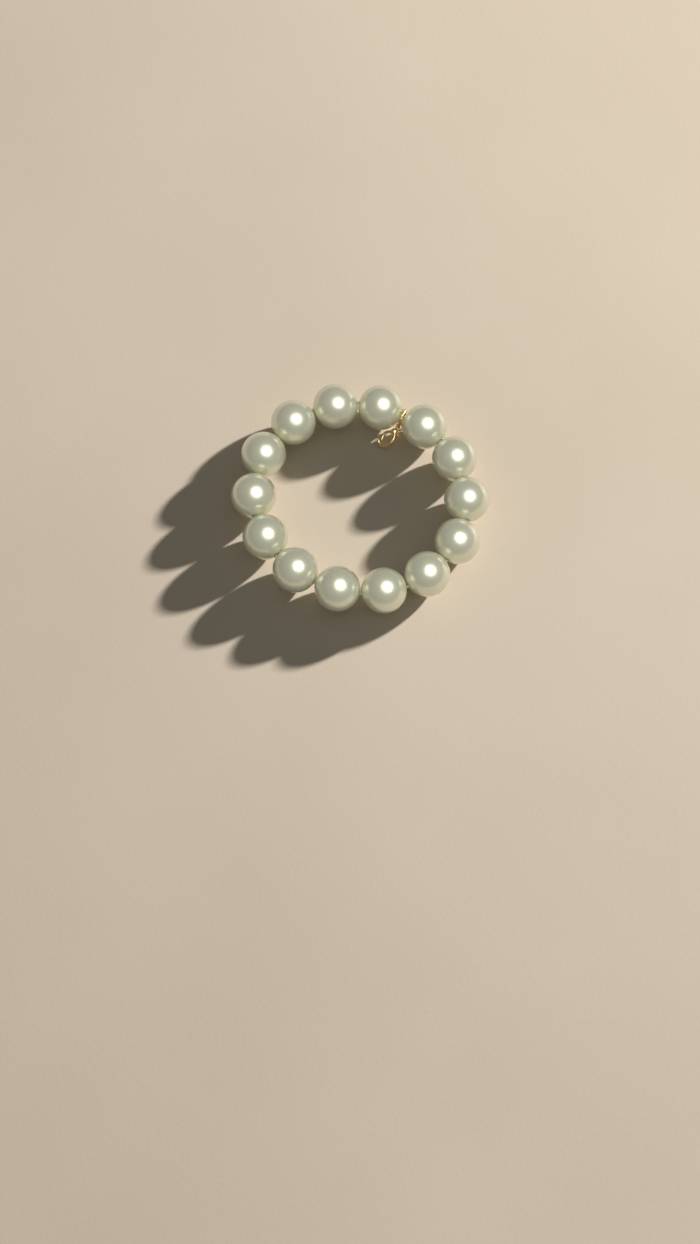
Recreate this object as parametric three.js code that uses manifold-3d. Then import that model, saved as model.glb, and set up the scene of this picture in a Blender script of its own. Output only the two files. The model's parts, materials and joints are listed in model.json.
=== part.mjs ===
// A stretch bracelet: fourteen round pearls on one elastic thread, lying flat. A jump ring round the
// thread, between the first pearl and the last, carries a small lobster clasp with a sprung lever.
// Millimetres, +Z up. The pearls stand on Z = 0, and the origin is under the middle of the loop.
import * as THREE from "three";
import { mergeVertices } from "three/addons/utils/BufferGeometryUtils.js";
import Module from "manifold-3d";

const wasm = await Module();
wasm.setup();

// Pearls and loop
const pearlCount = 14;
const pearlRadius = 7;
const pearlGap = 0.14; // between neighbours
const ringGap = 1.1; // between the two pearls beside the jump ring
const holeRadius = 0.75;
const pearlSides = 24; // flats round the hole
const pearlBands = 11; // flats from one end of the hole to the other: odd, so that one faces the floor
const loopRatio = 0.934; // short axis of the oval loop over its long axis
const loopTurn = THREE.MathUtils.degToRad(-22.6); // its long axis, from +X
const firstPearlTurn = THREE.MathUtils.degToRad(73.4); // the first pearl, from that long axis

// Elastic thread
const threadRadius = 0.35;
const threadSides = 8;
const threadSteps = 44; // along each half of the loop

// Jump ring
const wireRadius = 0.5;
const ringRadius = 2.9; // to the middle of the wire
const ringSlack = 0.2; // between the thread and the wire that hangs from it
const ringPull = THREE.MathUtils.degToRad(40); // how far below the horizontal the clasp pulls the ring
const ringCut = 0.25; // the slit where the wire's ends meet
const ringCutAt = THREE.MathUtils.degToRad(110); // the slit, from the horizontal outward direction

// Lobster clasp, drawn flat with its eyelet at the origin and its tip along +X. Its back is on the +Y side.
const claspOnRing = THREE.MathUtils.degToRad(219); // where the eyelet hangs on the jump ring
const claspHeading = THREE.MathUtils.degToRad(-142);
const claspSlope = THREE.MathUtils.degToRad(22);
const claspRoll = THREE.MathUtils.degToRad(4);
const eyelet = { radius: 1.05, wire: 0.3 };
const shoulder = { x: 2.25, y: 0, along: 1.35, across: 1.2, thick: 0.95 };
const claw = { x: 5.3, along: 3.4, across: 2.62, halfThick: 0.85 }; // an oval plate
const clawEye = { x: 5.1, y: -0.15, along: 2.52, across: 1.6 }; // the oval hole in it
const clawDome = { x: 2, along: 8, across: 4, thick: 0.98 }; // thins the plate from its shoulder to its nose
const mouth = { x: 7.08, y: -0.72 }; // the corner of the nose: the plate is cut away below and behind it
const pivot = { x: 2.25, y: -0.05 };
const pin = { radius: 0.25, halfLength: 0.93, hole: 0.32 };
const slot = { radius: 0.85, halfThick: 0.5 }; // the room for the lever inside the shoulder
const lever = { hub: 0.7, hole: 0.35, halfThick: 0.36, bevel: 0.12, stem: 0.28, knob: 0.42, knobY: 1.85 };

// Turns a closed geometry into a solid that can be joined and cut.
function solidOf(geometry) {
  const plain = geometry.clone();
  plain.deleteAttribute("normal");
  plain.deleteAttribute("uv");
  const merged = mergeVertices(plain, 1e-4);
  return new wasm.Manifold(
    new wasm.Mesh({
      numProp: 3,
      vertProperties: merged.attributes.position.array,
      triVerts: new Uint32Array(merged.index.array),
    }),
  );
}

function geometryOf(solid) {
  const mesh = solid.getMesh();
  const geometry = new THREE.BufferGeometry();
  geometry.setAttribute("position", new THREE.BufferAttribute(mesh.vertProperties, 3));
  geometry.setIndex(new THREE.BufferAttribute(mesh.triVerts, 1));
  geometry.computeVertexNormals();
  return geometry;
}

// The pearls' centres, in turn clockwise from above, on an oval just large enough to close the loop.
function placePearls() {
  const chord = 2 * pearlRadius + pearlGap;
  const axis = new THREE.Vector3(0, 0, 1);
  const pointOn = (size, turn) =>
    new THREE.Vector3(size * Math.cos(turn), size * loopRatio * Math.sin(turn), pearlRadius).applyAxisAngle(
      axis,
      loopTurn,
    );
  const halve = (low, high, tooFar) => {
    for (let i = 0; i < 50; i++) {
      const middle = (low + high) / 2;
      if (tooFar(middle)) high = middle;
      else low = middle;
    }
    return (low + high) / 2;
  };
  const walk = (size) => {
    let turn = firstPearlTurn;
    const centres = [pointOn(size, turn)];
    while (centres.length < pearlCount) {
      const from = centres[centres.length - 1];
      turn -= halve(0, 1, (step) => pointOn(size, turn - step).distanceTo(from) > chord);
      centres.push(pointOn(size, turn));
    }
    return centres;
  };
  const closingGap = (centres) => centres[0].distanceTo(centres[pearlCount - 1]);
  const size = halve(4 * pearlRadius, 6 * pearlRadius, (s) => closingGap(walk(s)) > 2 * pearlRadius + ringGap);
  return walk(size);
}

// A pearl about its hole, which lies along Y. Every flat touches the true sphere, so one lies on the floor.
function pearlGeometry() {
  const mouth = Math.asin(holeRadius / pearlRadius);
  const band = (Math.PI - 2 * mouth) / pearlBands;
  const corner = pearlRadius / Math.cos(band / 2);
  const widen = 1 / Math.cos(Math.PI / pearlSides);
  const profile = [];
  for (let i = 0; i <= pearlBands; i++) {
    const angle = -Math.PI / 2 + mouth + i * band;
    profile.push(new THREE.Vector2(corner * Math.cos(angle) * widen, corner * Math.sin(angle)));
  }
  profile[0].x = profile[pearlBands].x = holeRadius * widen;
  profile.push(profile[0].clone());
  return new THREE.LatheGeometry(profile, pearlSides, Math.PI / pearlSides);
}

// The direction of a pearl's hole: parallel to the line between its neighbours.
function holeDirection(centres, i) {
  const next = centres[(i + 1) % pearlCount];
  const previous = centres[(i + pearlCount - 1) % pearlCount];
  return next.clone().sub(previous).normalize();
}

// Where the thread enters and leaves each pearl, in turn.
function threadPoints(centres) {
  const half = Math.sqrt(pearlRadius ** 2 - holeRadius ** 2);
  return centres.flatMap((centre, i) => {
    const along = holeDirection(centres, i);
    return [centre.clone().addScaledVector(along, -half), centre.clone().addScaledVector(along, half)];
  });
}

// A round bar of the thread's thickness along straight lines between points.
function threadAlong(points) {
  const path = new THREE.CurvePath();
  for (let i = 1; i < points.length; i++) {
    path.add(new THREE.LineCurve3(points[i - 1], points[i]));
  }
  const section = new THREE.Shape().absarc(0, 0, threadRadius, 0, 2 * Math.PI);
  return new THREE.ExtrudeGeometry(section, {
    steps: threadSteps,
    curveSegments: threadSides / 2,
    extrudePath: path,
  });
}

// Two halves, which overlap inside the first pearl and the middle one.
function threadGeometry(centres) {
  const points = threadPoints(centres);
  const half = points.length / 2;
  const first = threadAlong(points.slice(0, half + 2));
  const second = threadAlong([...points.slice(half), points[0], points[1]]);
  return geometryOf(solidOf(first).add(solidOf(second)));
}

// The jump ring's place: its middle, and the outward and upward directions of the plane that it lies in.
function ringFrame(centres) {
  const points = threadPoints(centres);
  const thread = points[0].clone().add(points[points.length - 1]).multiplyScalar(0.5);
  const chord = centres[0].clone().sub(centres[pearlCount - 1]).normalize();
  const up = new THREE.Vector3(0, 0, 1);
  const outward = new THREE.Vector3().crossVectors(up, chord);
  if (outward.dot(thread) < 0) outward.negate();
  const hang = ringRadius - wireRadius - threadRadius - ringSlack;
  const middle = thread
    .clone()
    .addScaledVector(outward, -hang * Math.cos(ringPull))
    .addScaledVector(up, -hang * Math.sin(ringPull));
  return { middle, outward, up };
}

function onRing(frame, turn) {
  return frame.middle
    .clone()
    .addScaledVector(frame.outward, ringRadius * Math.cos(turn))
    .addScaledVector(frame.up, ringRadius * Math.sin(turn));
}

// The jump ring about its own middle, in the XY plane, with a slit at +X.
function ringGeometry() {
  const wire = solidOf(new THREE.TorusGeometry(ringRadius, wireRadius, 10, 24));
  const slit = box(new THREE.Vector3(0, -ringCut / 2, -1), new THREE.Vector3(2 * ringRadius, ringCut / 2, 1));
  return geometryOf(wire.subtract(solidOf(slit)));
}

// A box between two corners.
function box(low, high) {
  const size = high.clone().sub(low);
  const middle = high.clone().add(low).multiplyScalar(0.5);
  return new THREE.BoxGeometry(size.x, size.y, size.z).translate(middle.x, middle.y, middle.z);
}

// A round bar along Z at the pivot.
function pivotBar(radius, halfLength, sides) {
  return new THREE.CylinderGeometry(radius, radius, 2 * halfLength, sides)
    .rotateX(Math.PI / 2)
    .translate(pivot.x, pivot.y, 0);
}

// The claw: an oval plate with an oval hole, domed, and open where the lever's gate closes it.
function clawSolid() {
  const outline = new THREE.Shape().absellipse(claw.x, 0, claw.along, claw.across, 0, 2 * Math.PI);
  outline.holes.push(
    new THREE.Path().absellipse(clawEye.x, clawEye.y, clawEye.along, clawEye.across, 0, 2 * Math.PI),
  );
  const plate = new THREE.ExtrudeGeometry(outline, {
    depth: 2 * claw.halfThick,
    curveSegments: 18,
    bevelEnabled: true,
    bevelThickness: 0.3,
    bevelSize: 0.22,
    bevelOffset: -0.22,
    bevelSegments: 2,
  }).translate(0, 0, -claw.halfThick);
  const dome = new THREE.SphereGeometry(1, 24, 12)
    .rotateX(Math.PI / 2)
    .scale(clawDome.along, clawDome.across, clawDome.thick)
    .translate(clawDome.x, 0, 0);
  const opening = box(new THREE.Vector3(0, -3, -2), new THREE.Vector3(mouth.x, mouth.y, 2));
  return solidOf(plate).intersect(solidOf(dome)).subtract(solidOf(opening));
}

function claspBodyGeometry() {
  const loop = new THREE.TorusGeometry(eyelet.radius, eyelet.wire, 10, 20);
  const knuckle = new THREE.SphereGeometry(1, 16, 10)
    .rotateX(Math.PI / 2)
    .scale(shoulder.along, shoulder.across, shoulder.thick)
    .translate(shoulder.x, shoulder.y, 0);
  const gateSlot = box(
    new THREE.Vector3(pivot.x - slot.radius, -2, -slot.halfThick),
    new THREE.Vector3(pivot.x + 1.6, 0.1, slot.halfThick),
  );
  const stemSlot = box(
    new THREE.Vector3(pivot.x - slot.radius, 0, -slot.halfThick),
    new THREE.Vector3(pivot.x + 0.45, 3, slot.halfThick),
  );
  const body = solidOf(loop)
    .add(solidOf(knuckle))
    .add(clawSolid())
    .subtract(solidOf(pivotBar(slot.radius, slot.halfThick, 16)))
    .subtract(solidOf(gateSlot))
    .subtract(solidOf(stemSlot))
    .subtract(solidOf(pivotBar(pin.hole, 2, 12)));
  return geometryOf(body);
}

// The gate's outline: from the pivot along its outer edge to the tip, and back along its inner edge.
function gateOutline() {
  const outline = new THREE.Shape();
  outline.moveTo(pivot.x - 0.2, pivot.y - 0.4);
  outline.splineThru([
    new THREE.Vector2(3.1, -1.58),
    new THREE.Vector2(4.2, -2.2),
    new THREE.Vector2(5.4, -2.16),
    new THREE.Vector2(6.98, -1.12),
  ]);
  outline.lineTo(6.72, -0.62);
  outline.splineThru([
    new THREE.Vector2(5.3, -1.2),
    new THREE.Vector2(4.3, -1.22),
    new THREE.Vector2(3.5, -0.76),
    new THREE.Vector2(pivot.x + 0.3, pivot.y + 0.35),
  ]);
  return outline;
}

function claspLeverGeometry() {
  const gate = new THREE.ExtrudeGeometry(gateOutline(), {
    depth: 2 * (lever.halfThick - lever.bevel),
    curveSegments: 3,
    bevelEnabled: true,
    bevelThickness: lever.bevel,
    bevelSize: lever.bevel,
    bevelOffset: -lever.bevel,
    bevelSegments: 2,
  }).translate(0, 0, lever.bevel - lever.halfThick);
  const stem = new THREE.CylinderGeometry(lever.stem, lever.stem, lever.knobY, 10).translate(
    pivot.x - 0.1,
    lever.knobY / 2,
    0,
  );
  const knob = new THREE.SphereGeometry(lever.knob, 12, 8).rotateX(Math.PI / 2).translate(pivot.x - 0.1, lever.knobY, 0);
  const whole = solidOf(pivotBar(lever.hub, lever.halfThick, 16))
    .add(solidOf(gate))
    .add(solidOf(stem))
    .add(solidOf(knob))
    .subtract(solidOf(pivotBar(lever.hole, 2, 12)));
  return geometryOf(whole);
}

function makeMaterial(color, roughness, metalness, opacity = 1) {
  return new THREE.MeshStandardMaterial({ color, roughness, metalness, opacity, transparent: opacity < 1 });
}

function makeMesh(name, geometry, material) {
  const mesh = new THREE.Mesh(geometry, material);
  mesh.name = name;
  return mesh;
}

function makeStrand(centres) {
  const strand = new THREE.Group();
  const pearl = pearlGeometry();
  const nacre = makeMaterial(0xd2d0bb, 0.28, 0);
  centres.forEach((centre, i) => {
    const mesh = makeMesh(`pearl_${String(i + 1).padStart(2, "0")}`, pearl, nacre);
    const along = holeDirection(centres, i);
    mesh.position.copy(centre);
    mesh.rotation.z = Math.atan2(along.y, along.x) - Math.PI / 2;
    strand.add(mesh);
  });
  strand.add(makeMesh("elastic_thread", threadGeometry(centres), makeMaterial(0xe6e4dc, 0.4, 0)));
  return strand;
}

// The jump ring stands upright in the gap, with its slit where ringCutAt says.
function makeJumpRing(frame) {
  const slit = onRing(frame, ringCutAt).sub(frame.middle).normalize();
  const axis = new THREE.Vector3().crossVectors(frame.outward, frame.up);
  const side = new THREE.Vector3().crossVectors(axis, slit);
  const ring = makeMesh("jump_ring", ringGeometry(), makeMaterial(0xd9b25f, 0.25, 1));
  ring.quaternion.setFromRotationMatrix(new THREE.Matrix4().makeBasis(slit, side, axis));
  ring.position.copy(frame.middle);
  return ring;
}

function makeClasp(frame) {
  const gold = makeMaterial(0xd9b25f, 0.25, 1);
  const clasp = new THREE.Group();
  clasp.position.copy(onRing(frame, claspOnRing));
  clasp.rotation.set(claspRoll, claspSlope, claspHeading, "ZYX");
  clasp.add(makeMesh("clasp_body", claspBodyGeometry(), gold));
  clasp.add(makeMesh("clasp_lever", claspLeverGeometry(), gold));
  clasp.add(makeMesh("clasp_pin", pivotBar(pin.radius, pin.halfLength, 12), gold));
  return clasp;
}

const centres = placePearls();
const frame = ringFrame(centres);
const bracelet = new THREE.Group();
bracelet.add(makeStrand(centres));
bracelet.add(makeJumpRing(frame));
bracelet.add(makeClasp(frame));

const middle = new THREE.Box3().setFromObject(bracelet, true).getCenter(new THREE.Vector3());
bracelet.position.set(-middle.x, -middle.y, 0);

export default bracelet;
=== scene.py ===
"""The looks of a pearl stretch bracelet: nacre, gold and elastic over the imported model's frame.

The clasp's pieces are shaped in millimetres, flat about the eyelet with the tip along +X, and then
laid where the lever's hinge says. Everything else is in metres.
"""

import json
import math

import bmesh
import bpy
from mathutils import Euler, Matrix, Vector


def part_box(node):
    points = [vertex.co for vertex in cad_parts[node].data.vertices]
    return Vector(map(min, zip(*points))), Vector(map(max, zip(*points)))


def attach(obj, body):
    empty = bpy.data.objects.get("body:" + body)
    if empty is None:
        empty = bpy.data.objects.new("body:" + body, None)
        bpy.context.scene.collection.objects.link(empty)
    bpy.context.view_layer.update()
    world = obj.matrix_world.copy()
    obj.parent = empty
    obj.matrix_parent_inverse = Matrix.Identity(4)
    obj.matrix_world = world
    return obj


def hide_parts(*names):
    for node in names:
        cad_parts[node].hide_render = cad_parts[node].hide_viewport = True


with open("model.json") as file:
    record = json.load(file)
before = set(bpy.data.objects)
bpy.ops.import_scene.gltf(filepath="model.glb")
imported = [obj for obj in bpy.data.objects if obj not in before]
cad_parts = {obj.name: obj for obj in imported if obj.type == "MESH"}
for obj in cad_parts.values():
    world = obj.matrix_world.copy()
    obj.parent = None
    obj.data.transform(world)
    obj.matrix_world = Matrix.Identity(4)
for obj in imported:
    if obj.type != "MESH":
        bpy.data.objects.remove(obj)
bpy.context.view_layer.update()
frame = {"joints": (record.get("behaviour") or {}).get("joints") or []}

MM = 0.001
EAST = Vector((1, 0, 0))
NORTH = Vector((0, 1, 0))
UP = Vector((0, 0, 1))

# The strand
PEARL_COUNT = 14
PEARL_RADIUS = 7 * MM
PEARL_SIDES = 128  # round the hole
PEARL_BANDS = 56  # from one end of the hole to the other
HOLE_RADIUS = 0.75 * MM
HOLE_LIP = 0.1 * MM  # the rounding where the hole meets the pearl's surface
LIP_BANDS = 6
THREAD_RADIUS = 0.35 * MM
THREAD_SIDES = 16

# The jump ring
RING_RADIUS = 2.9 * MM
RING_STEPS = 120
RING_SLIT = 0.12 * MM
RING_SLIT_TURN = math.radians(110)  # from the horizontal outward direction
WIRE_RADIUS = 0.5 * MM
WIRE_SIDES = 28
WIRE_END = 0.008  # the share of the wire that each cut end is rounded over
WIRE_END_SIZE = 0.7  # what is left of the wire's radius at the very end

# The clasp, in millimetres and flat
CLASP_TURN = Euler((math.radians(4), math.radians(22), math.radians(-142)), "XYZ")
PIVOT = Vector((2.25, -0.05, 0))
EYELET_RADIUS = 1.05
EYELET_WIRE = 0.3
EYELET_STEPS = 72
EYELET_SIDES = 24
SHOULDER = {"centre": Vector((2.25, 0, 0)), "size": Vector((1.33, 1.18, 0.93))}
KNOB = {"centre": Vector((2.15, 1.85, 0)), "size": Vector((0.42, 0.4, 0.42))}
BALL_TURNS = 48
BALL_RINGS = 24

# The claw's arm follows part of an oval, between two angles in degrees. Its nose is rounded over
# the last share of its length, down to the end sizes.
ARM = {"centre": Vector((5.2, -0.08, 0)), "along": 2.96, "across": 2.1, "from": 158, "to": -50}
ARM_STEPS = 60
ARM_SIDES = 32
NOSE_SHARE = 0.08
NOSE_WIDTH = 0.35
NOSE_HEIGHT = 0.45

# The clasp's bars. "wide" and "high" are half of their size at the root. "swell" is how much wider
# a bar grows in the first 1 / "pace" of its length, before it is over. "narrows" and "thins" are
# what the bar has lost by its tip.
BARS = {
    "arm": {"wide": 0.5, "swell": 0.08, "pace": 1.3, "narrows": 0.08, "high": 0.84, "thins": 0.26},
    "gate": {"wide": 0.38, "swell": 0.13, "pace": 1, "narrows": 0.12, "high": 0.37, "thins": 0.05},
    "stem": {"wide": 0.27, "swell": 0, "pace": 1, "narrows": 0, "high": 0.33, "thins": 0},
}
GATE_PATH = [(PIVOT.x, PIVOT.y), (3.3, -1.2), (4.3, -1.71), (5.4, -1.68), (6.2, -1.3), (6.92, -0.82)]
STEM_PATH = [(PIVOT.x, PIVOT.y), (2.18, 1), (2.15, 1.75)]
PATH_STEPS = 14  # between two points of a path
PATH_SIDES = 24

# The room for the lever inside the shoulder: a round chamber at the pivot and two slots, whose
# corners are counted from the pivot
ROOM_RADIUS = 0.85
ROOM_HALF = 0.5
GATE_SLOT = ((-ROOM_RADIUS, -2), (1.5, 0.15))
STEM_SLOT = ((-ROOM_RADIUS, 0), (0.42, 3))
HUB_RADIUS = 0.68
HUB_HALF = 0.36
BODY_HOLE = 0.31
LEVER_HOLE = 0.34
THROUGH = 2  # half the height of a bar that cuts right through the clasp
BAR_SIDES = 40

# The pin: a straight stretch, with a dome on each end
PIN_RADIUS = 0.25
PIN_STRAIGHT_HALF = 0.83
PIN_DOME = 0.13
PIN_DOME_STEPS = 9
PIN_SIDES = 32

# Casting
VOXEL = 0.05
POLISH_BEFORE_CUTS = 5
POLISH_AFTER_CUTS = 2

# Colours, each list from the darkest patches of a noise to the lightest, as (place, colour)
NACRE_COLORS = [(0.3, (0.82, 0.83, 0.63)), (0.55, (0.86, 0.86, 0.67)), (0.8, (0.89, 0.88, 0.72))]
GOLD_COLORS = [(0.35, (0.76, 0.58, 0.27)), (0.6, (0.9, 0.73, 0.41)), (0.8, (0.94, 0.79, 0.5))]
ELASTIC_COLORS = [(0.3, (0.74, 0.72, 0.66)), (0.7, (0.85, 0.84, 0.8))]
FLOOR_COLORS = [(0.35, (0.76, 0.67, 0.55)), (0.65, (0.8, 0.71, 0.59))]

# The camera
CAMERA_TARGET = Vector((-3.1, -40.8, 7)) * MM
CAMERA_DISTANCE = 0.692
CAMERA_ELEVATION = math.radians(70)
CAMERA_LENS = 66.6
CAMERA_SENSOR = 36

# The floor and the lights. Azimuth is from +X towards +Y, in degrees.
FLOOR_HALF = 1.5
FLOOR_DEPTH = 0.02
OVERHEAD = {
    "azimuth": -15,
    "elevation": 74,
    "distance": 0.9,
    "size": 1.0,
    "watts": 6.5,
    "color": (1, 0.99, 0.98),
}
LOW_WINDOW = {
    "azimuth": 33,
    "elevation": 21,
    "distance": 2.4,
    "size": 0.12,
    "watts": 104,
    "color": (1, 0.95, 0.89),
}
WORLD_COLOR = (0.84, 0.82, 0.75, 1)
WORLD_STRENGTH = 0.16


# Meshes


def mesh_object(name, verts, faces):
    mesh = bpy.data.meshes.new(name)
    mesh.from_pydata([tuple(v) for v in verts], [], faces)
    mesh.update()
    mesh.polygons.foreach_set("use_smooth", [True] * len(mesh.polygons))
    made = bpy.data.objects.new(name, mesh)
    bpy.context.scene.collection.objects.link(made)
    return made


def lathe(name, profile, sides):
    """A surface round the Y axis, from a row of (radius, height) points that closes on itself."""
    verts = []
    faces = []
    for i in range(sides):
        turn = 2 * math.pi * i / sides
        verts += [(r * math.cos(turn), y, -r * math.sin(turn)) for r, y in profile]
    count = len(profile)
    for i in range(sides):
        here = i * count
        there = (i + 1) % sides * count
        for k in range(count):
            k1 = (k + 1) % count
            faces.append((here + k, here + k1, there + k1, there + k))
    return mesh_object(name, verts, faces)


def sweep(name, sections, sides, closed=False):
    """A solid through oval sections, each (centre, across, up, half width, half height)."""
    verts = []
    faces = []
    for centre, across, up, width, height in sections:
        for k in range(sides):
            turn = 2 * math.pi * k / sides
            verts.append(centre + across * width * math.cos(turn) + up * height * math.sin(turn))
    spans = len(sections) if closed else len(sections) - 1
    for i in range(spans):
        here = i * sides
        there = (i + 1) % len(sections) * sides
        for k in range(sides):
            k1 = (k + 1) % sides
            faces.append((here + k, here + k1, there + k1, there + k))
    if not closed:
        last = (len(sections) - 1) * sides
        faces.append(tuple(reversed(range(sides))))
        faces.append(tuple(range(last, last + sides)))
    return mesh_object(name, verts, faces)


def rounded(left, length):
    """How full a round end is: 1 until only its length is left, then down to 0 at its very tip."""
    if left >= length:
        return 1.0
    return math.sqrt(1 - (1 - left / length) ** 2)


def between(low, high, share):
    return low + (high - low) * share


def ellipsoid(name, centre, size):
    made = bmesh.new()
    bmesh.ops.create_uvsphere(made, u_segments=BALL_TURNS, v_segments=BALL_RINGS, radius=1)
    bmesh.ops.scale(made, vec=size, verts=made.verts)
    bmesh.ops.translate(made, vec=centre, verts=made.verts)
    return from_bmesh(name, made)


def block(name, low, high):
    made = bmesh.new()
    bmesh.ops.create_cube(made, size=1)
    bmesh.ops.scale(made, vec=high - low, verts=made.verts)
    bmesh.ops.translate(made, vec=(low + high) / 2, verts=made.verts)
    return from_bmesh(name, made)


def pivot_bar(name, radius, half):
    """A round bar along Z at the pivot."""
    made = bmesh.new()
    bmesh.ops.create_cone(
        made, cap_ends=True, segments=BAR_SIDES, radius1=radius, radius2=radius, depth=2 * half
    )
    bmesh.ops.translate(made, vec=PIVOT, verts=made.verts)
    return from_bmesh(name, made)


def from_bmesh(name, made):
    mesh = bpy.data.meshes.new(name)
    made.to_mesh(mesh)
    made.free()
    result = bpy.data.objects.new(name, mesh)
    bpy.context.scene.collection.objects.link(result)
    return result


def bake_modifiers(target):
    """Replaces the object's mesh with what its modifiers make of it."""
    graph = bpy.context.evaluated_depsgraph_get()
    mesh = bpy.data.meshes.new_from_object(target.evaluated_get(graph))
    target.modifiers.clear()
    target.data = mesh


def cut(target, cutters):
    for cutter in cutters:
        modifier = target.modifiers.new("cut", "BOOLEAN")
        modifier.operation = "DIFFERENCE"
        modifier.object = cutter
        modifier.solver = "EXACT"
    bpy.context.view_layer.update()
    bake_modifiers(target)
    for cutter in cutters:
        bpy.data.objects.remove(cutter)


def melt(target, polish):
    """Rounds every edge and seam, as casting does, and smooths the surface that many times."""
    remesh = target.modifiers.new("melt", "REMESH")
    remesh.mode = "VOXEL"
    remesh.voxel_size = VOXEL
    smooth = target.modifiers.new("polish", "SMOOTH")
    smooth.factor = 0.5
    smooth.iterations = polish
    bake_modifiers(target)
    target.data.polygons.foreach_set("use_smooth", [True] * len(target.data.polygons))


def cast(name, parts, cutters):
    """Parts that meet, melted into one smooth casting before and after its slots and holes are cut."""
    made = bmesh.new()
    for part in parts:
        made.from_mesh(part.data)
        bpy.data.objects.remove(part)
    casting = from_bmesh(name, made)
    melt(casting, POLISH_BEFORE_CUTS)
    cut(casting, cutters)
    melt(casting, POLISH_AFTER_CUTS)
    return casting


# Materials


class Shader:
    """A node material with its Principled shader, and short ways to add nodes to it."""

    def __init__(self, name, **values):
        self.material = bpy.data.materials.new(name)
        self.material.use_nodes = True
        self.tree = self.material.node_tree
        self.principled = self.tree.nodes["Principled BSDF"]
        for socket, value in values.items():
            self.principled.inputs[socket.replace("_", " ")].default_value = value
        self.place = self.add("ShaderNodeTexCoord").outputs["Object"]

    def add(self, kind, **inputs):
        node = self.tree.nodes.new(kind)
        for socket, value in inputs.items():
            self.feed(node.inputs[socket.replace("_", " ")], value)
        return node

    def feed(self, socket, value):
        if isinstance(value, bpy.types.NodeSocket):
            self.tree.links.new(value, socket)
        else:
            socket.default_value = value

    def noise(self, per_metre, detail=3.0):
        node = self.add("ShaderNodeTexNoise", Vector=self.place, Scale=per_metre, Detail=detail)
        return node.outputs["Fac"]

    def ramp(self, value, stops):
        node = self.add("ShaderNodeValToRGB", Fac=value)
        elements = node.color_ramp.elements
        while len(elements) < len(stops):
            elements.new(0.5)
        for element, (position, color) in zip(elements, stops):
            element.position = position
            element.color = (*color, 1)
        return node.outputs["Color"]

    def stretch(self, value, low, high):
        node = self.add("ShaderNodeMapRange", Value=value, To_Min=low, To_Max=high)
        return node.outputs["Result"]

    def bump(self, height, strength, distance, under=None):
        node = self.add("ShaderNodeBump", Height=height, Strength=strength, Distance=distance)
        if under is not None:
            self.feed(node.inputs["Normal"], under)
        return node.outputs["Normal"]

    def wire(self, socket, value):
        self.feed(self.principled.inputs[socket], value)


def nacre_material():
    """Cream with a green cast, in faint clouds, under a clear coat with hardly a ripple."""
    shader = Shader(
        "nacre",
        Metallic=0.4,
        Coat_Weight=1,
        Coat_Roughness=0.12,
        Coat_IOR=1.5,
        IOR=1.55,
    )
    clouds = shader.noise(per_metre=220, detail=4)
    shader.wire("Base Color", shader.ramp(clouds, NACRE_COLORS))
    shader.wire("Roughness", shader.stretch(shader.noise(per_metre=900), low=0.26, high=0.34))
    ripple = shader.bump(shader.noise(per_metre=260, detail=1), strength=0.05, distance=0.0003)
    grain = shader.noise(per_metre=9000, detail=2)
    shader.wire("Normal", shader.bump(grain, strength=0.05, distance=0.00001, under=ripple))
    return shader.material


def gold_material():
    """Polished yellow metal with duller patches, shallow dents and a fine grain."""
    shader = Shader("gold", Metallic=1.0)
    tarnish = shader.noise(per_metre=700, detail=4)
    shader.wire("Base Color", shader.ramp(tarnish, GOLD_COLORS))
    wear = shader.noise(per_metre=1800, detail=5)
    shader.wire("Roughness", shader.stretch(wear, low=0.22, high=0.34))
    dents = shader.bump(shader.noise(per_metre=900, detail=2), strength=0.1, distance=0.00002)
    grain = shader.noise(per_metre=12000, detail=4)
    shader.wire("Normal", shader.bump(grain, strength=0.05, distance=0.000004, under=dents))
    return shader.material


def elastic_material():
    shader = Shader("elastic", Roughness=0.35, Transmission_Weight=0.3, IOR=1.5)
    shader.wire("Base Color", shader.ramp(shader.noise(per_metre=1500), ELASTIC_COLORS))
    shader.wire("Normal", shader.bump(shader.noise(per_metre=7000), strength=0.2, distance=0.00003))
    return shader.material


def floor_material():
    shader = Shader("floor", Roughness=0.75)
    shader.wire("Base Color", shader.ramp(shader.noise(per_metre=9, detail=4), FLOOR_COLORS))
    grain = shader.noise(per_metre=700, detail=4)
    shader.wire("Normal", shader.bump(grain, strength=0.1, distance=0.0002))
    return shader.material


def dress(piece, material, slot, body, *nodes):
    """Gives a piece its material, and says which body it rides on and which nodes it stands for."""
    piece.data.materials.clear()
    piece.data.materials.append(material)
    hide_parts(*nodes)
    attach(piece, body)


def lay(piece, place):
    """Moves the piece's mesh, so that its object stays at the origin."""
    piece.data.transform(place)
    piece.data.update()
    return piece


# The strand


def middle_of(node):
    low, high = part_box(node)
    return (low + high) / 2


def pearl_centres():
    return [middle_of(f"pearl_{i + 1:02d}") for i in range(PEARL_COUNT)]


def hole_direction(centres, i):
    """Parallel to the line between the pearl's neighbours."""
    return (centres[(i + 1) % PEARL_COUNT] - centres[i - 1]).normalized()


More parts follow.
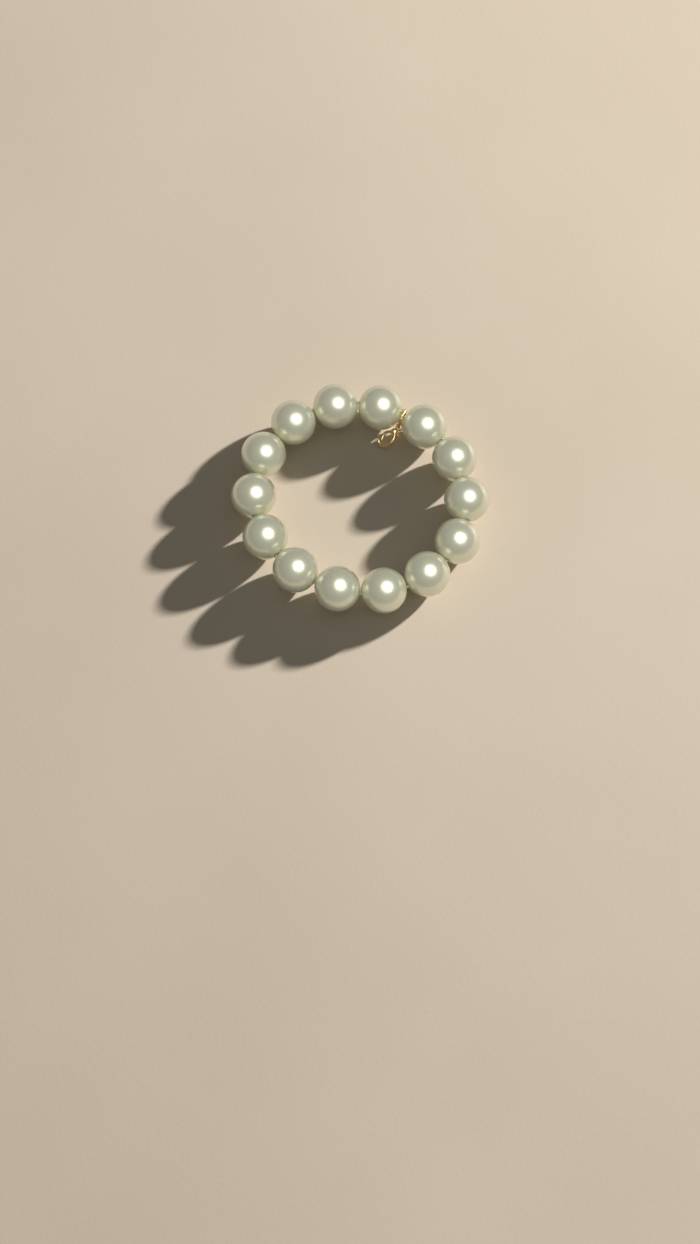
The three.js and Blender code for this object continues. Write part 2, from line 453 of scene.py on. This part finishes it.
def pearl_profile():
    """From inside one end of the hole, over its lip, round the outside and in at the other end."""
    lip_turn = math.asin((HOLE_RADIUS + HOLE_LIP) / (PEARL_RADIUS - HOLE_LIP))
    lip_height = (PEARL_RADIUS - HOLE_LIP) * math.cos(lip_turn)
    upper = []
    for i in range(LIP_BANDS + 1):
        turn = math.pi - i / LIP_BANDS * (math.pi / 2 + lip_turn)
        radius = HOLE_RADIUS + HOLE_LIP + HOLE_LIP * math.cos(turn)
        upper.append((radius, lip_height + HOLE_LIP * math.sin(turn)))
    outside = []
    for i in range(1, PEARL_BANDS):
        turn = math.pi / 2 - lip_turn - (math.pi - 2 * lip_turn) * i / PEARL_BANDS
        outside.append((PEARL_RADIUS * math.cos(turn), PEARL_RADIUS * math.sin(turn)))
    lower = [(radius, -height) for radius, height in reversed(upper)]
    return upper + outside + lower


def make_pearls(centres, material):
    profile = pearl_profile()
    beads = []
    for i, centre in enumerate(centres):
        bead = lathe(f"bead_{i + 1:02d}", profile, PEARL_SIDES)
        along = hole_direction(centres, i)
        turn = math.atan2(along.y, along.x) - math.pi / 2
        lay(bead, Matrix.Translation(centre) @ Matrix.Rotation(turn, 4, "Z"))
        dress(bead, material, "pearl", "bracelet", f"pearl_{i + 1:02d}")
        beads.append(bead)
    return beads


def thread_points(centres):
    """Where the thread enters and leaves each pearl, in turn."""
    half = math.sqrt(PEARL_RADIUS**2 - HOLE_RADIUS**2)
    points = []
    for i, centre in enumerate(centres):
        along = hole_direction(centres, i) * half
        points += [centre - along, centre + along]
    return points


def make_thread(centres, material):
    points = thread_points(centres)
    sections = []
    for i, point in enumerate(points):
        behind = (point - points[i - 1]).normalized()
        ahead = (points[(i + 1) % len(points)] - point).normalized()
        across = UP.cross(behind + ahead).normalized()
        sections.append((point, across, UP, THREAD_RADIUS, THREAD_RADIUS))
    thread = sweep("thread", sections, THREAD_SIDES, closed=True)
    dress(thread, material, "thread", "bracelet", "elastic_thread")


def make_jump_ring(centres, material):
    """A wire bent round until its two cut ends all but meet at the slit."""
    middle = middle_of("jump_ring")
    chord = (centres[0] - centres[-1]).normalized()
    outward = UP.cross(chord)
    if outward.dot(middle) < 0:
        outward = -outward
    axis = outward.cross(UP)
    slit = RING_SLIT / RING_RADIUS
    sections = []
    for i in range(RING_STEPS + 1):
        share = i / RING_STEPS
        turn = RING_SLIT_TURN + slit / 2 + (2 * math.pi - slit) * share
        away = outward * math.cos(turn) + UP * math.sin(turn)
        end = rounded(min(share, 1 - share), WIRE_END)
        radius = WIRE_RADIUS * between(WIRE_END_SIZE, 1, end)
        sections.append((middle + away * RING_RADIUS, away, -axis, radius, radius))
    ring = sweep("ring", sections, WIRE_SIDES)
    dress(ring, material, "gold", "bracelet", "jump_ring")


# The clasp


def clasp_place():
    """From the flat clasp's millimetres to its place on the bracelet."""
    hinge = frame["joints"][0]
    turn = CLASP_TURN.to_matrix()
    origin = Vector(hinge["pos_m"]) - turn @ (PIVOT * MM)
    return Matrix.Translation(origin) @ turn.to_4x4() @ Matrix.Scale(MM, 4)


def bar_size(bar, share):
    """A bar's half width and half height, that share of the way from its root to its tip."""
    swell = bar["swell"] * math.sin(math.pi * min(1, share * bar["pace"]))
    width = bar["wide"] + swell - bar["narrows"] * share
    height = bar["high"] - bar["thins"] * share
    return width, height


def claw_arm():
    along, across = ARM["along"], ARM["across"]
    sections = []
    for i in range(ARM_STEPS + 1):
        share = i / ARM_STEPS
        turn = math.radians(between(ARM["from"], ARM["to"], share))
        centre = ARM["centre"] + Vector((along * math.cos(turn), across * math.sin(turn), 0))
        outward = Vector((math.cos(turn) / along, math.sin(turn) / across, 0)).normalized()
        width, height = bar_size(BARS["arm"], share)
        end = rounded(1 - share, NOSE_SHARE)
        width *= between(NOSE_WIDTH, 1, end)
        height *= between(NOSE_HEIGHT, 1, end)
        sections.append((centre, outward, UP, width, height))
    return sweep("arm", sections, ARM_SIDES)


def eyelet():
    sections = []
    for i in range(EYELET_STEPS):
        turn = -2 * math.pi * i / EYELET_STEPS
        away = Vector((math.cos(turn), math.sin(turn), 0))
        sections.append((away * EYELET_RADIUS, away, UP, EYELET_WIRE, EYELET_WIRE))
    return sweep("eyelet", sections, EYELET_SIDES, closed=True)


def room_slot(name, corners):
    """A cutter as high as the lever's room, between two corners counted from the pivot."""
    low, high = corners
    return block(name, PIVOT + Vector((*low, -ROOM_HALF)), PIVOT + Vector((*high, ROOM_HALF)))


def make_clasp_body(material, place):
    arm = claw_arm()
    shoulder = ellipsoid("shoulder", SHOULDER["centre"], SHOULDER["size"])
    cutters = [
        pivot_bar("room", ROOM_RADIUS, ROOM_HALF),
        room_slot("gate_slot", GATE_SLOT),
        room_slot("stem_slot", STEM_SLOT),
        pivot_bar("pin_hole", BODY_HOLE, THROUGH),
    ]
    body = cast("claw", [arm, shoulder, eyelet()], cutters)
    dress(lay(body, place), material, "gold", "bracelet", "clasp_body")


def make_clasp_pin(material, place):
    dome = []
    for i in range(PIN_DOME_STEPS):
        turn = math.pi / 2 * i / PIN_DOME_STEPS
        dome.append((PIN_RADIUS * math.cos(turn), PIN_STRAIGHT_HALF + PIN_DOME * math.sin(turn)))
    profile = [(radius, -height) for radius, height in reversed(dome)] + dome
    sections = [(PIVOT + UP * height, EAST, NORTH, radius, radius) for radius, height in profile]
    pin = sweep("rivet", sections, PIN_SIDES)
    dress(lay(pin, place), material, "gold", "bracelet", "clasp_pin")


def spline(points):
    """A smooth path through the points, as a Catmull-Rom curve."""
    ends = [points[0] * 2 - points[1], *points, points[-1] * 2 - points[-2]]
    path = []
    for i in range(len(points) - 1):
        a, b, c, d = ends[i : i + 4]
        slope = c - a
        bend = a * 2 - b * 5 + c * 4 - d
        twist = b * 3 - a - c * 3 + d
        for k in range(PATH_STEPS):
            t = k / PATH_STEPS
            path.append((b * 2 + slope * t + bend * t**2 + twist * t**3) / 2)
    return [*path, points[-1]]


def flat_bar(name, points, bar):
    """A bar of oval section, along a smooth path through (x, y) points of the flat clasp."""
    path = spline([Vector((x, y, 0)) for x, y in points])
    last = len(path) - 1
    sections = []
    for i, point in enumerate(path):
        along = (path[min(i + 1, last)] - path[max(i - 1, 0)]).normalized()
        sections.append((point, UP.cross(along), UP, *bar_size(bar, i / last)))
    return sweep(name, sections, PATH_SIDES)


def make_clasp_lever(material, place):
    """The gate, the hub on the pin, and the stem with its thumb knob, all one piece."""
    parts = [
        flat_bar("gate", GATE_PATH, BARS["gate"]),
        flat_bar("stem", STEM_PATH, BARS["stem"]),
        ellipsoid("knob", KNOB["centre"], KNOB["size"]),
        pivot_bar("hub", HUB_RADIUS, HUB_HALF),
    ]
    lever = cast("gate_lever", parts, [pivot_bar("hole", LEVER_HOLE, THROUGH)])
    dress(lay(lever, place), material, "gold", "lever", "clasp_lever")


# The studio


def make_camera():
    data = bpy.data.cameras.new("camera")
    data.lens = CAMERA_LENS
    data.sensor_width = CAMERA_SENSOR
    camera = bpy.data.objects.new("camera", data)
    back = Vector((0, -math.cos(CAMERA_ELEVATION), math.sin(CAMERA_ELEVATION)))
    camera.location = CAMERA_TARGET + back * CAMERA_DISTANCE
    camera.rotation_euler = (math.pi / 2 - CAMERA_ELEVATION, 0, 0)
    bpy.context.scene.collection.objects.link(camera)
    bpy.context.scene.camera = camera


def make_floor():
    low = Vector((-FLOOR_HALF, -FLOOR_HALF, -FLOOR_DEPTH))
    floor = block("floor", low, Vector((FLOOR_HALF, FLOOR_HALF, 0)))
    floor.data.materials.append(floor_material())
    return floor


def area_light(name, azimuth, elevation, distance, size, watts, color):
    """A round soft light that looks at the bracelet."""
    data = bpy.data.lights.new(name, "AREA")
    data.shape = "DISK"
    data.size = size
    data.energy = watts
    data.color = color
    light = bpy.data.objects.new(name, data)
    turn, height = math.radians(azimuth), math.radians(elevation)
    level = math.cos(height)
    away = Vector((math.cos(turn) * level, math.sin(turn) * level, math.sin(height)))
    light.location = away * distance
    light.rotation_euler = away.to_track_quat("Z", "Y").to_euler()
    bpy.context.scene.collection.objects.link(light)
    return light


def keep_off(light, shaded):
    """Keeps the light off these objects, as a flag on a stand does. They still throw its shadows."""
    flagged = bpy.data.collections.new(f"flagged from {light.name}")
    for item in shaded:
        flagged.objects.link(item)
    for entry in flagged.collection_objects:
        entry.light_linking.link_state = "EXCLUDE"
    light.light_linking.receiver_collection = flagged


def light_studio(floor, beads):
    """A soft overhead light for the pearls, and a low one that throws their shadows on the floor."""
    keep_off(area_light("overhead", **OVERHEAD), [floor])
    keep_off(area_light("low_window", **LOW_WINDOW), beads)
    world = bpy.data.worlds.new("studio")
    world.use_nodes = True
    background = world.node_tree.nodes["Background"]
    background.inputs["Color"].default_value = WORLD_COLOR
    background.inputs["Strength"].default_value = WORLD_STRENGTH
    bpy.context.scene.world = world
    bpy.context.scene.view_settings.view_transform = "Standard"


make_camera()

centres = pearl_centres()
beads = make_pearls(centres, nacre_material())
make_thread(centres, elastic_material())

gold = gold_material()
make_jump_ring(centres, gold)
place = clasp_place()
make_clasp_body(gold, place)
make_clasp_pin(gold, place)
make_clasp_lever(gold, place)
light_studio(make_floor(), beads)
